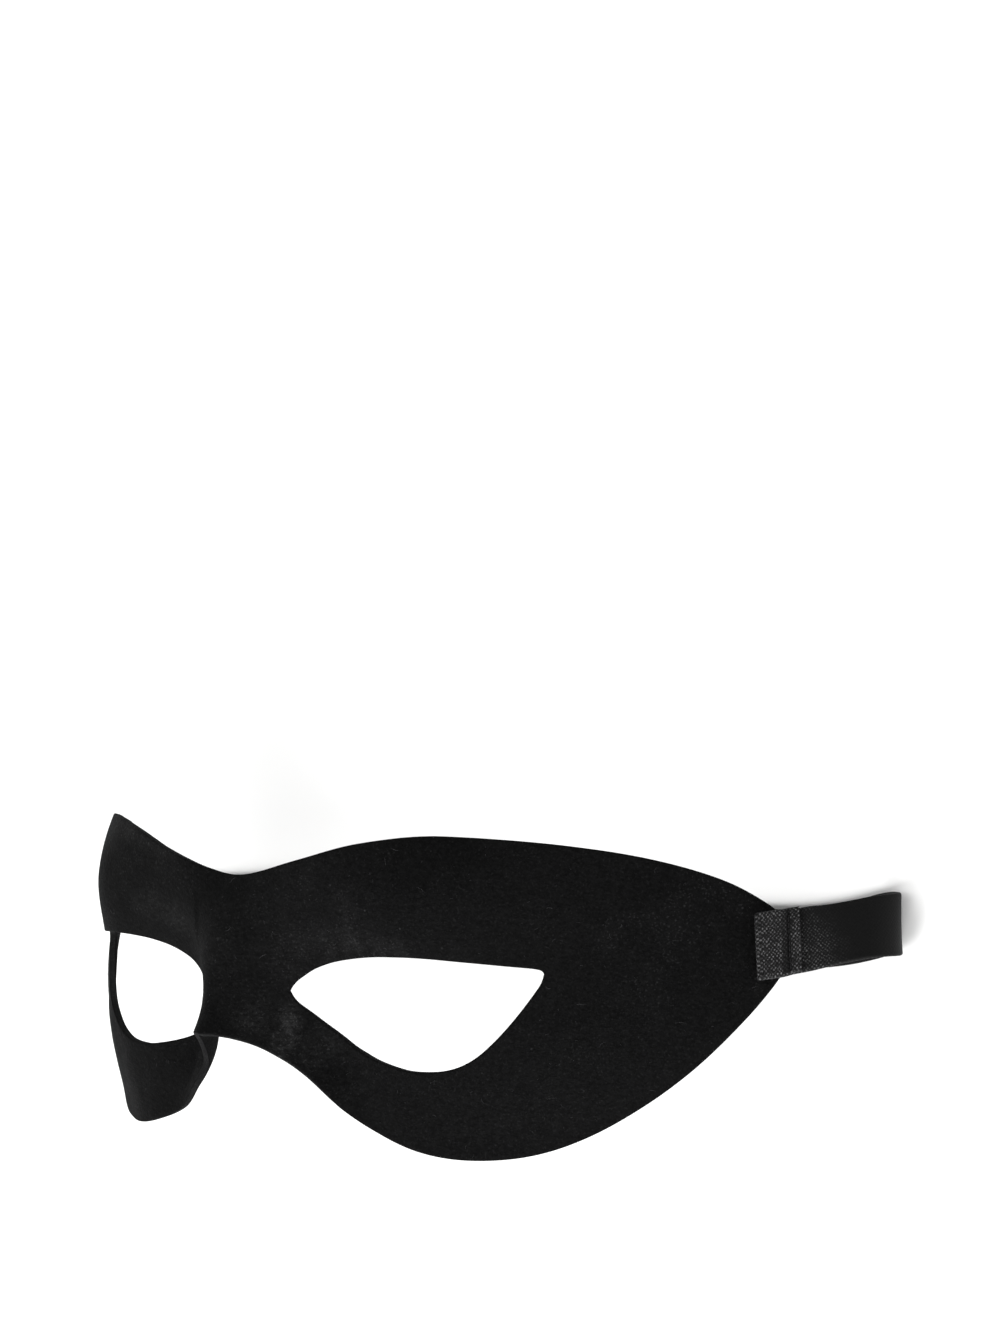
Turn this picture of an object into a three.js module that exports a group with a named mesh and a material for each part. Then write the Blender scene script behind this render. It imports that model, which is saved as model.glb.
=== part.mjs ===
// Plain black eye mask: a moulded napped sheet with two eye holes, and an
// elastic band sewn to the outside of both side ends. Millimetres, +Z up.
// The mask lies on its back: the face looks up, the brow points to +Y, the
// wearer's left is +X, and the band's slack lies on the floor underneath.
import * as THREE from "three";

// ---------------------------------------------------------------- sizes
const SHEET = 1.35; // thickness of the moulded sheet
const BAND_WIDTH = 12.7; // half-inch elastic, as wide as this where it is sewn
const FREE_WIDTH = 11.9; // and drawn in to this where it is free
const FREE_FROM = 9; // length from the fold where it starts to narrow
const FREE_EASE = 8; // and over which it does
const FOLD_SKEW = 0.1086; // the fold isn't square: length per width
const CUT_SKEW = 0.1465; // nor is the cut end
const BAND_THICK = 1.1;
const HEM = 8.7; // length of the turned-over end of the band
const SEAM_GAP = 0.5; // between the band and the sheet it is sewn to
const TILT = 12; // degrees the brow leans towards the floor
const BAND_EASE = 1.64; // length in which the sewn end turns into the straight part
const BAND_STRAIGHT = 16.74; // band past the side end before it turns under
const BAND_TURN = 11.04; // length of the quarter turn beside the mask
const BAND_TUCK = 9.8; // length of the turn that brings it to the floor
const BAND_LEAN = 23; // degrees the band's upper edge leans backwards
const TURN_DROP = 0.17; // degrees the band heads cheekwards out of that turn
const RISE_LEFT = 0.186; // towards the brow per unit of length, wearer's left
const RISE_RIGHT = -0.2; // the slack lies a little askew, so the right drops
const YAW_LEFT = 16.6; // degrees cheekwards that the run on the floor leaves the left side
const YAW_RIGHT = -2; // and the right side
const RUN_MIDDLE = 0.94; // the slack bows towards the brow, to this y

// The face frame of the form: x to the wearer's left, y backwards, z up.
// The form is a swept front with rounded bulges and hollows on it, both
// sides alike; `out` is how far back a bulge moves the surface.
const FRONT = { y: 5.72, sweep: 0.7742, turn: 25.26, round: 12.6, lean: -0.0567, flare: 0.004459 };
const BRIDGE_ROUND = 1.2; // the two sides run into each other over this
const BULGES = [
  { name: "nose bridge", out: -16.78, x: 0, z: 11.85, wide: 10.83, high: 37.01 },
  { name: "between the brows", out: 16.93, x: 0, z: 32.35, wide: 10.14, high: 20.44 },
  { name: "brow and temple", out: -31.13, x: 55.01, z: 16.51, wide: 24.12, high: 23.23 },
  { name: "temple", out: -9.36, x: 61.16, z: 13.57, wide: 16.53, high: 35.41 },
  { name: "nose sides", out: -29.63, x: 5.93, z: -13.98, wide: 9.63, high: 14.51 },
  { name: "under the nose", out: 27.77, x: 0, z: -25.93, wide: 21.93, high: 28.22, halves: 2 },
  { name: "eye hollow", out: 11.87, x: 38.37, z: 8.62, wide: 19.4, high: 19.25 },
  { name: "cheek by the nose", out: -18.54, x: 15.13, z: -20.75, wide: 9.84, high: 10.67 },
  { name: "lower side", out: 11.02, x: 76.78, z: -28.1, wide: 42.35, high: 20.18 },
  { name: "outer eye corner", out: 28.88, x: 61.08, z: 14.81, wide: 17.1, high: 21.99 },
  { name: "brow edge at the temple", out: -0.82, x: 67.17, z: 37, wide: 6.17, high: 7.16 },
];

// Edges of one side as smooth curves through named turning places, [x, z].
const TOP_EDGE = [[0, 28.35], [7.7, 29.37], [18.3, 32.03], [30.8, 35.49], [43.3, 37.37], [55.8, 36.83], [67.4, 34.98], [77, 32.18], [84.7, 28.78], [90.5, 24.75], [93.7, 21.47], [95.3, 19]];
const LOW_EDGE = [[0, -2.08], [2.9, -2.1], [5.8, -2.75], [8.7, -4.2], [11.6, -6.71], [18.3, -13.2], [26.9, -19.94], [36.6, -23.25], [47.2, -24.77], [57.8, -23.62], [67.4, -19.4], [77, -12.37], [84.7, -4.94], [90.5, 2.96], [94.1, 10.12], [95.3, 15.2]];
const EYE_INNER = [12, 5.98];
const EYE_OUTER = [61.95, 11.4];
const EYE_TOP = [EYE_INNER, [12.7, 7.15], [14.4, 8.7], [18.3, 10.83], [25, 12.69], [34.6, 13.79], [46.2, 13.95], [57.8, 12.69], [61.2, 12.17], EYE_OUTER];
const EYE_LOW = [EYE_INNER, [12.7, 4], [14.4, 1.91], [17.3, -1.17], [21.2, -4.13], [25, -5.64], [28.9, -6.73], [33.7, -7.6], [38.5, -8.11], [44.7, -7.7], [49.7, -5.81], [53.9, -2.32], [57.8, 2.72], [61.2, 8.78], EYE_OUTER];

// Columns across one side, and rows above and below the eye line.
const NOSE_COLUMNS = 7;
const EYE_COLUMNS = 26;
const SIDE_COLUMNS = 13;
const ROWS = 8;
const RUN_STEPS = 12; // stations along each half of the band's run on the floor

// ---------------------------------------------------------------- form
function depth(x, z) {
  const a = Math.hypot(x, BRIDGE_ROUND);
  const t = a - FRONT.turn;
  let y = FRONT.y + (FRONT.sweep * (Math.hypot(t, FRONT.round) + t)) / 2 + FRONT.lean * z + FRONT.flare * z * a;
  for (const b of BULGES) {
    const up = Math.exp(-(((z - b.z) / b.high) ** 2));
    const side = b.x > 0 ? Math.exp(-(((a - b.x) / b.wide) ** 2)) + Math.exp(-(((a + b.x) / b.wide) ** 2)) : (b.halves ?? 1) * Math.exp(-((a / b.wide) ** 2));
    y += b.out * up * side;
  }
  return y;
}

// Unit normal of the form, pointing out of the front.
function normal(x, z) {
  const h = 0.02;
  const dx = (depth(x + h, z) - depth(x - h, z)) / (2 * h);
  const dz = (depth(x, z + h) - depth(x, z - h)) / (2 * h);
  return new THREE.Vector3(dx, -1, dz).normalize();
}

function onForm(x, z, off) {
  return new THREE.Vector3(x, depth(x, z), z).addScaledVector(normal(x, z), off);
}

// Height of an edge curve at a station x.
function edge(points, mirrored) {
  const pts = points.map(([x, z]) => new THREE.Vector2(x, z));
  const lead = mirrored ? [new THREE.Vector2(-points[1][0], points[1][1])] : [];
  const curve = new THREE.SplineCurve([...lead, ...pts]);
  const line = curve.getPoints(60 * pts.length);
  return (x) => {
    let i = line.findIndex((p) => p.x >= x);
    if (i < 0) i = line.length - 1;
    if (i === 0) return line[0].y;
    const a = line[i - 1];
    const b = line[i];
    return b.x - a.x < 1e-9 ? b.y : a.y + ((b.y - a.y) * (x - a.x)) / (b.x - a.x);
  };
}

const topAt = edge(TOP_EDGE, true);
const lowAt = edge(LOW_EDGE, true);
const eyeTopAt = edge(EYE_TOP, false);
const eyeLowAt = edge(EYE_LOW, false);
const END = TOP_EDGE.at(-1)[0];

// Line that the upper and lower rows share where there is no eye hole.
function eyeLine(x) {
  if (x <= EYE_INNER[0]) return THREE.MathUtils.lerp((topAt(0) + lowAt(0)) / 2 - 5, EYE_INNER[1], THREE.MathUtils.smootherstep(x, 0, EYE_INNER[0]));
  const end = (TOP_EDGE.at(-1)[1] + LOW_EDGE.at(-1)[1]) / 2;
  return THREE.MathUtils.lerp(EYE_OUTER[1], end, THREE.MathUtils.smootherstep(x, EYE_OUTER[0], END));
}

// Stations along one side: closer together at the eye corners and the end.
function stations() {
  const list = [];
  for (let i = 0; i < NOSE_COLUMNS; i++) list.push((EYE_INNER[0] * i) / NOSE_COLUMNS);
  for (let i = 0; i < EYE_COLUMNS; i++) {
    const f = (1 - Math.cos((Math.PI * i) / EYE_COLUMNS)) / 2;
    list.push(THREE.MathUtils.lerp(EYE_INNER[0], EYE_OUTER[0], f));
  }
  for (let i = 0; i <= SIDE_COLUMNS; i++) {
    const f = Math.sin(((Math.PI / 2) * i) / SIDE_COLUMNS);
    list.push(THREE.MathUtils.lerp(EYE_OUTER[0], END, f));
  }
  return list;
}

// ---------------------------------------------------------------- mesh tools
class Skin {
  constructor() {
    this.points = [];
    this.faces = [];
  }
  add(v) {
    this.points.push(v);
    return this.points.length - 1;
  }
  quad(a, b, c, d) {
    // the shorter diagonal splits the quad
    const p = this.points;
    if (p[a].distanceTo(p[c]) <= p[b].distanceTo(p[d])) this.faces.push(a, b, c, a, c, d);
    else this.faces.push(a, b, d, b, c, d);
  }
  geometry(place) {
    const g = new THREE.BufferGeometry();
    const flat = this.points.flatMap((v) => v.toArray());
    g.setAttribute("position", new THREE.Float32BufferAttribute(flat, 3));
    g.setIndex(this.faces.filter(Number.isInteger));
    if (place) g.applyMatrix4(place);
    return g;
  }
}

// ---------------------------------------------------------------- the sheet
function sheet() {
  const skin = new Skin();
  const xs = stations();
  const all = [...xs.slice(1).reverse().map((x) => -x), ...xs];
  const inEye = (x) => x > EYE_INNER[0] + 1e-6 && x < EYE_OUTER[0] - 1e-6;
  // column of vertex pairs [front, back] from the lower to the upper edge
  const pair = (x, z) => [skin.add(onForm(x, z, 0)), skin.add(onForm(x, z, -SHEET))];
  const columns = all.map((x) => {
    const a = Math.abs(x);
    const open = inEye(a);
    const lowLine = open ? eyeLowAt(a) : eyeLine(a);
    const topLine = open ? eyeTopAt(a) : lowLine;
    const lower = [];
    const upper = [];
    for (let j = 0; j <= ROWS; j++) lower.push(pair(x, THREE.MathUtils.lerp(lowAt(a), lowLine, j / ROWS)));
    for (let j = 0; j <= ROWS; j++) upper.push(j === 0 && !open ? lower[ROWS] : pair(x, THREE.MathUtils.lerp(topLine, topAt(a), j / ROWS)));
    return { open, lower, upper };
  });
  for (let i = 0; i + 1 < columns.length; i++) {
    const L = columns[i];
    const R = columns[i + 1];
    for (const part of ["lower", "upper"])
      for (let j = 0; j < ROWS; j++) {
        const [a, b, c, d] = [L[part][j], R[part][j], R[part][j + 1], L[part][j + 1]];
        skin.quad(a[0], b[0], c[0], d[0]); // front
        skin.quad(a[1], d[1], c[1], b[1]); // back
      }
    // cut edges
    const rim = (p, q) => skin.quad(p[0], p[1], q[1], q[0]);
    rim(L.lower[0], R.lower[0]);
    rim(R.upper[ROWS], L.upper[ROWS]);
    if (L.open || R.open) {
      rim(R.lower[ROWS], L.lower[ROWS]);
      rim(L.upper[0], R.upper[0]);
    }
  }
  // side ends
  for (const [col, flip] of [[columns[0], true], [columns.at(-1), false]]) {
    const line = [...col.lower, ...col.upper.slice(1)];
    for (let j = 0; j + 1 < line.length; j++) {
      const [p, q] = flip ? [line[j + 1], line[j]] : [line[j], line[j + 1]];
      skin.quad(p[0], p[1], q[1], q[0]);
    }
  }
  return skin;
}

// ---------------------------------------------------------------- lying down
// Face frame to the frame of the part: on its back, brow tilted to the floor.
const tilt = THREE.MathUtils.degToRad(TILT);
const turnOver = new THREE.Matrix4().set(1, 0, 0, 0, 0, -Math.sin(tilt), Math.cos(tilt), 0, 0, -Math.cos(tilt), -Math.sin(tilt), 0, 0, 0, 0, 1);
const laid = (v) => v.clone().applyMatrix4(turnOver);

// ---------------------------------------------------------------- the band
// Directions of the side in the face frame: along it, back from it, and up.
const ALONG = new THREE.Vector3(1, 1, 0).normalize();
const BACK = new THREE.Vector3(-1, 1, 0).normalize();
const UP = new THREE.Vector3(0, 0, 1);
const lean = THREE.MathUtils.degToRad(BAND_LEAN);
// where the band's end is sewn on, and the way it lies there
const SEWN = new THREE.Vector2(90.28, 16.33); // x and z on the form
const SEWN_ALONG = new THREE.Vector3(0.66, 0.739, 0.138);
const SEWN_ACROSS = new THREE.Vector3(-0.231, 0.064, 0.971);
const SEWN_LENGTH = 5.2; // length that follows the form

// A frame of the band: t along it, w across it towards the brow.
function frame(t, w) {
  const along = t.clone().normalize();
  const across = w.clone().addScaledVector(along, -w.dot(along)).normalize();
  return new THREE.Matrix4().makeBasis(along, across, along.clone().cross(across));
}

// One side of the band from its sewn end to the floor, drawn at +X: a list of
// middle points p and frames m.
function sideStations(rise, straight, yaw) {
  const list = [];
  const lift = SEAM_GAP + BAND_THICK / 2;
  const steps = 5;
  for (let i = 0; i <= steps; i++) {
    const f = (i / steps) * SEWN_LENGTH;
    const q = new THREE.Vector2(SEWN.x + SEWN_ALONG.x * f, SEWN.y + SEWN_ALONG.z * f);
    const n = normal(q.x, q.y);
    const t = SEWN_ALONG.clone().addScaledVector(n, -SEWN_ALONG.dot(n));
    list.push({ p: laid(onForm(q.x, q.y, lift)), m: frame(laid(t), laid(SEWN_ACROSS)) });
  }
  // past the end: straight on, then the turns, as a chain of short steps
  const legDir = ALONG.clone().addScaledVector(UP, rise);
  const across = ALONG.clone().multiplyScalar(-rise).add(UP).normalize().multiplyScalar(Math.cos(lean)).addScaledVector(BACK, Math.sin(lean));
  const leg = frame(laid(legDir), laid(across));
  const turned = frame(laid(BACK.clone().addScaledVector(UP, -Math.tan(THREE.MathUtils.degToRad(TURN_DROP)))), laid(UP));
  const flat = frame(new THREE.Vector3(-Math.cos(yaw), -Math.sin(yaw), 0), new THREE.Vector3(-Math.sin(yaw), Math.cos(yaw), 0));
  const chain = (a, b, length, n) => {
    const qa = new THREE.Quaternion().setFromRotationMatrix(a);
    const qb = new THREE.Quaternion().setFromRotationMatrix(b);
    for (let i = 1; i <= n; i++) {
      const mid = new THREE.Matrix4().makeRotationFromQuaternion(qa.clone().slerp(qb, (i - 0.5) / n));
      const p = list.at(-1).p.clone().addScaledVector(new THREE.Vector3().setFromMatrixColumn(mid, 0), length / n);
      list.push({ p, m: new THREE.Matrix4().makeRotationFromQuaternion(qa.clone().slerp(qb, i / n)) });
    }
  };
  chain(list.at(-1).m, leg, BAND_EASE, 3);
  chain(leg, leg, straight - BAND_EASE - SEWN_LENGTH + 4.1, 4);
  chain(leg, turned, BAND_TURN, 10);
  chain(turned, flat, BAND_TUCK, 9);
  return { list, drop: -new THREE.Vector3().setFromMatrixColumn(leg, 0).z };
}

function bandStations() {
  const yawLeft = THREE.MathUtils.degToRad(YAW_LEFT);
  const yawRight = THREE.MathUtils.degToRad(YAW_RIGHT);
  const left = sideStations(RISE_LEFT, BAND_STRAIGHT, yawLeft).list;
  // the right side is as much longer or shorter as brings it to the same floor
  const guess = sideStations(RISE_RIGHT, BAND_STRAIGHT, yawRight);
  const low = left.at(-1).p.z;
  const right = sideStations(RISE_RIGHT, BAND_STRAIGHT + (guess.list.at(-1).p.z - low) / guess.drop, yawRight).list;
  // on the floor: from the end of one side over the middle to the other, as
  // two cubics that meet in line
  const a = left.at(-1).p;
  const b = right.at(-1).p.clone();
  b.x = -b.x;
  const halves = [
    { x: a.x, y: a.y, to: 0, toY: RUN_MIDDLE, grad: Math.tan(yawLeft), toGrad: 0 },
    { x: 0, y: RUN_MIDDLE, to: b.x, toY: b.y, grad: 0, toGrad: -Math.tan(yawRight) },
  ];
  const middle = [];
  halves.forEach((c, k) => {
    const d = c.to - c.x;
    for (let i = k === 0 ? 1 : 0; i < RUN_STEPS; i++) {
      const s = i / RUN_STEPS;
      const y = (2 * s ** 3 - 3 * s ** 2 + 1) * c.y + (s ** 3 - 2 * s ** 2 + s) * c.grad * d + (3 * s ** 2 - 2 * s ** 3) * c.toY + (s ** 3 - s ** 2) * c.toGrad * d;
      const grad = ((6 * s ** 2 - 6 * s) * c.y + (3 * s ** 2 - 4 * s + 1) * c.grad * d + (6 * s - 6 * s ** 2) * c.toY + (3 * s ** 2 - 2 * s) * c.toGrad * d) / d;
      middle.push({ p: new THREE.Vector3(c.x + d * s, y, low), m: frame(new THREE.Vector3(-1, -grad, 0), new THREE.Vector3(-grad, 1, 0)) });
    }
  });
  return { left, middle, right, floor: low - BAND_THICK / 2 };
}

function band() {
  const { left, middle, right, floor } = bandStations();
  // distance from the sewn end, for the turned-over part
  const measured = (list) => {
    let run = 0;
    const side = list.map((s, i) => {
      if (i) run += s.p.distanceTo(list[i - 1].p);
      return { ...s, run };
    });
    // one more pair of stations makes the step where the turned-over end stops
    const k = side.findIndex((s) => s.run > HEM);
    const mix = (d) => {
      const a = side[k - 1];
      const b = side[k];
      const f = (d - a.run) / (b.run - a.run);
      const qa = new THREE.Quaternion().setFromRotationMatrix(a.m);
      const qb = new THREE.Quaternion().setFromRotationMatrix(b.m);
      return { p: a.p.clone().lerp(b.p, f), m: new THREE.Matrix4().makeRotationFromQuaternion(qa.slerp(qb, f)), run: d };
    };
    side.splice(k, 0, mix(HEM), mix(HEM + 0.25));
    return side;
  };
  // how askew the band's cross lines are at a length from the fold
  const skew = (run) => (run < HEM ? THREE.MathUtils.lerp(FOLD_SKEW, CUT_SKEW, run / HEM) : CUT_SKEW * Math.max(0, 1 - (run - HEM) / 8));
  const skin = new Skin();
  const section = (s, mirror) => {
    const w = new THREE.Vector3().setFromMatrixColumn(s.m, 1);
    const n = new THREE.Vector3().setFromMatrixColumn(s.m, 2);
    const run = s.run ?? Infinity;
    const outer = BAND_THICK / 2 + (run <= HEM + 1e-6 ? BAND_THICK : 0);
    const half = THREE.MathUtils.lerp(BAND_WIDTH, FREE_WIDTH, THREE.MathUtils.smoothstep(run, FREE_FROM, FREE_FROM + FREE_EASE)) / 2;
    w.addScaledVector(new THREE.Vector3().setFromMatrixColumn(s.m, 0), skew(run));
    const corners = [[-1, -BAND_THICK / 2], [1, -BAND_THICK / 2], [1, outer], [-1, outer]].map(([u, v]) => s.p.clone().addScaledVector(w, u * half).addScaledVector(n, v));
    // the floor holds up any corner that would dip under it
    const dip = Math.min(0, ...corners.map((c) => c.z - floor));
    return corners.map((c) => {
      c.z -= dip;
      if (mirror) c.x = -c.x;
      return skin.add(c);
    });
  };
  const rings = [...measured(left).map((s) => section(s, false)), ...middle.map((s) => section(s, false)), ...measured(right).map((s) => section(s, true)).reverse()];
  const first = rings[0];
  const last = rings.at(-1);
  for (let i = 0; i + 1 < rings.length; i++)
    for (let j = 0; j < 4; j++) {
      const k2 = (j + 1) % 4;
      skin.quad(rings[i][j], rings[i][k2], rings[i + 1][k2], rings[i + 1][j]);
    }
  skin.quad(first[3], first[2], first[1], first[0]);
  skin.quad(last[0], last[1], last[2], last[3]);
  return { skin, floor };
}

// ---------------------------------------------------------------- assembly
const { skin: bandSkin, floor } = band();
const toFloor = new THREE.Matrix4().makeTranslation(0, 0, -floor);

const velvet = new THREE.MeshStandardMaterial({ name: "black_napped_sheet", color: 0x141414, roughness: 0.95, metalness: 0 });
const elastic = new THREE.MeshStandardMaterial({ name: "black_elastic", color: 0x202020, roughness: 0.7, metalness: 0 });

const mask = new THREE.Mesh(sheet().geometry(toFloor.clone().multiply(turnOver)), velvet);
mask.name = "mask_sheet";
const strap = new THREE.Mesh(bandSkin.geometry(toFloor), elastic);
strap.name = "elastic_band";

const group = new THREE.Group();
group.name = "eye_mask";
group.add(mask, strap);

// the origin is on the floor under the middle of the whole
const middle = new THREE.Box3().setFromObject(group, true).getCenter(new THREE.Vector3());
group.position.set(-middle.x, -middle.y, 0);

export default group;
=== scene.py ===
import math

import bpy
import numpy as np
from mathutils import Matrix, Quaternion, Vector


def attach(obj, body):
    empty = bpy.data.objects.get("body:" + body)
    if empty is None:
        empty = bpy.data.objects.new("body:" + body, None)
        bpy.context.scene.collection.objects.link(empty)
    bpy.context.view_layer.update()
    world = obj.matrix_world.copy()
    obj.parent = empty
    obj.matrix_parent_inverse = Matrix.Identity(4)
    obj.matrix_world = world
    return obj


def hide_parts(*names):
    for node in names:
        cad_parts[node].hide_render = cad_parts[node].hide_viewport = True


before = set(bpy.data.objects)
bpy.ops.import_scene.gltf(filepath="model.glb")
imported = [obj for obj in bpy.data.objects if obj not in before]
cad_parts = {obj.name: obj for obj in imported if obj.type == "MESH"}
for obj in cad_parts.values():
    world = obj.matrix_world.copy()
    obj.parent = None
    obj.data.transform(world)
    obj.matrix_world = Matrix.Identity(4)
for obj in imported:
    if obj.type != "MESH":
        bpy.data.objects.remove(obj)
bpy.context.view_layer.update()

# ------------------------------------------------------------------ the form
# The face frame, in millimetres: x to the wearer's left, y backwards, z up.
SHEET = 1.35
TILT = math.radians(12)
FLOOR = -90.21997
SHIFT = (0.55124, -1.33664)
BRIDGE_ROUND = 1.2
FRONT = dict(y=5.72, sweep=0.7742, turn=25.26, round=12.6, lean=-0.0567, flare=0.004459)
# out, x, z, wide, high, number of halves that count in the middle
BULGES = (
    (-16.78, 0, 11.85, 10.83, 37.01, 1),
    (16.93, 0, 32.35, 10.14, 20.44, 1),
    (-31.13, 55.01, 16.51, 24.12, 23.23, 0),
    (-9.36, 61.16, 13.57, 16.53, 35.41, 0),
    (-29.63, 5.93, -13.98, 9.63, 14.51, 0),
    (27.77, 0, -25.93, 21.93, 28.22, 2),
    (11.87, 38.37, 8.62, 19.4, 19.25, 0),
    (-18.54, 15.13, -20.75, 9.84, 10.67, 0),
    (11.02, 76.78, -28.1, 42.35, 20.18, 0),
    (28.88, 61.08, 14.81, 17.1, 21.99, 0),
    (-0.82, 67.17, 37, 6.17, 7.16, 0),
)
TOP_EDGE = ((0, 28.35), (7.7, 29.37), (18.3, 32.03), (30.8, 35.49), (43.3, 37.37), (55.8, 36.83), (67.4, 34.98), (77, 32.18), (84.7, 28.78), (90.5, 24.75), (93.7, 21.47), (95.3, 19))
LOW_EDGE = ((0, -2.08), (2.9, -2.1), (5.8, -2.75), (8.7, -4.2), (11.6, -6.71), (18.3, -13.2), (26.9, -19.94), (36.6, -23.25), (47.2, -24.77), (57.8, -23.62), (67.4, -19.4), (77, -12.37), (84.7, -4.94), (90.5, 2.96), (94.1, 10.12), (95.3, 15.2))
EYE_INNER = (12, 5.98)
EYE_OUTER = (61.95, 11.4)
EYE_TOP = (EYE_INNER, (12.7, 7.15), (14.4, 8.7), (18.3, 10.83), (25, 12.69), (34.6, 13.79), (46.2, 13.95), (57.8, 12.69), (61.2, 12.17), EYE_OUTER)
EYE_LOW = (EYE_INNER, (12.7, 4), (14.4, 1.91), (17.3, -1.17), (21.2, -4.13), (25, -5.64), (28.9, -6.73), (33.7, -7.6), (38.5, -8.11), (44.7, -7.7), (49.7, -5.81), (53.9, -2.32), (57.8, 2.72), (61.2, 8.78), EYE_OUTER)
END = TOP_EDGE[-1][0]


def depth(x, z):
    a = np.hypot(x, BRIDGE_ROUND)
    t = a - FRONT["turn"]
    y = FRONT["y"] + FRONT["sweep"] * (np.hypot(t, FRONT["round"]) + t) / 2 + FRONT["lean"] * z + FRONT["flare"] * z * a
    for out, bx, bz, wide, high, halves in BULGES:
        up = np.exp(-(((z - bz) / high) ** 2))
        side = np.exp(-(((a - bx) / wide) ** 2)) + np.exp(-(((a + bx) / wide) ** 2)) if bx else halves * np.exp(-((a / wide) ** 2))
        y = y + out * up * side
    return y


def normal(x, z, h=0.02):
    dx = (depth(x + h, z) - depth(x - h, z)) / (2 * h)
    dz = (depth(x, z + h) - depth(x, z - h)) / (2 * h)
    n = np.stack([dx, -np.ones_like(dx), dz], -1)
    return n / np.linalg.norm(n, axis=-1, keepdims=True)


def waves(x, z):
    """The slight unevenness of a moulded sheet, in millimetres."""
    rng = np.random.default_rng(11)
    total = np.zeros_like(x)
    for size, tall in ((34, 0.07), (21, 0.05), (12, 0.028), (7, 0.012)):
        for _ in range(5):
            turn, phase, skew = rng.uniform(0, 2 * math.pi, 3)
            k = 2 * math.pi / (size * rng.uniform(0.8, 1.25))
            total = total + tall * 0.5 * np.sin(k * (x * math.cos(turn) + z * math.sin(turn)) + phase + 0.7 * np.sin(0.5 * k * z + skew))
    return total


def on_form(x, z, off):
    p = np.stack([x, depth(x, z), z], -1)
    return p + normal(x, z) * np.asarray(off)[..., None]


def laid(p):
    """Face frame to the frame of the part, in metres."""
    p = np.asarray(p, float)
    s, c = math.sin(TILT), math.cos(TILT)
    return 0.001 * np.stack([p[..., 0] + SHIFT[0], -s * p[..., 1] + c * p[..., 2] + SHIFT[1], -c * p[..., 1] - s * p[..., 2] - FLOOR], -1)


def laid_dir(v):
    s, c = math.sin(TILT), math.cos(TILT)
    return Vector((v[0], -s * v[1] + c * v[2], -c * v[1] - s * v[2])).normalized()


def edge(points, mirrored):
    """Height of an edge curve at a station x."""
    pts = [(-points[1][0], points[1][1])] * mirrored + list(points)
    line = []
    for i in range(len(pts) - 1):
        p1, p2 = np.array(pts[i], float), np.array(pts[i + 1], float)
        p0 = np.array(pts[i - 1], float) if i else p1
        p3 = np.array(pts[i + 2], float) if i + 2 < len(pts) else p2
        t = np.linspace(0, 1, 60, endpoint=False)[:, None]
        v0, v1 = (p2 - p0) / 2, (p3 - p1) / 2
        line.append((2 * p1 - 2 * p2 + v0 + v1) * t**3 + (-3 * p1 + 3 * p2 - 2 * v0 - v1) * t**2 + v0 * t + p1)
    line = np.concatenate([*line, np.array(pts[-1], float)[None]])
    keep = np.concatenate([[True], np.diff(np.maximum.accumulate(line[:, 0])) > 0])
    line = line[keep]
    return lambda x: float(np.interp(x, line[:, 0], line[:, 1]))


top_at, low_at = edge(TOP_EDGE, 1), edge(LOW_EDGE, 1)
eye_top_at, eye_low_at = edge(EYE_TOP, 0), edge(EYE_LOW, 0)


def smoother(x, a, b):
    t = min(1, max(0, (x - a) / (b - a)))
    return t * t * t * (t * (t * 6 - 15) + 10)


def eye_line(x):
    if x <= EYE_INNER[0]:
        start = (top_at(0) + low_at(0)) / 2 - 5
        return start + (EYE_INNER[1] - start) * smoother(x, 0, EYE_INNER[0])
    end = (TOP_EDGE[-1][1] + LOW_EDGE[-1][1]) / 2
    return EYE_OUTER[1] + (end - EYE_OUTER[1]) * smoother(x, EYE_OUTER[0], END)


# ------------------------------------------------------------------ mesh tools
def make_object(name, co, faces, materials, attribute=None, face_material=None):
    mesh = bpy.data.meshes.new(name)
    mesh.from_pydata([tuple(map(float, c)) for c in co], [], [tuple(map(int, f)) for f in faces])
    mesh.polygons.foreach_set("use_smooth", [True] * len(mesh.polygons))
    for m in materials:
        mesh.materials.append(m)
    if face_material is not None:
        mesh.polygons.foreach_set("material_index", [int(i) for i in face_material])
    if attribute is not None:
        layer = mesh.attributes.new("weave", "FLOAT_VECTOR", "POINT")
        layer.data.foreach_set("vector", np.asarray(attribute, np.float32).ravel())
    mesh.validate()
    mesh.update()
    obj = bpy.data.objects.new(name, mesh)
    bpy.context.scene.collection.objects.link(obj)
    return obj


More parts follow.
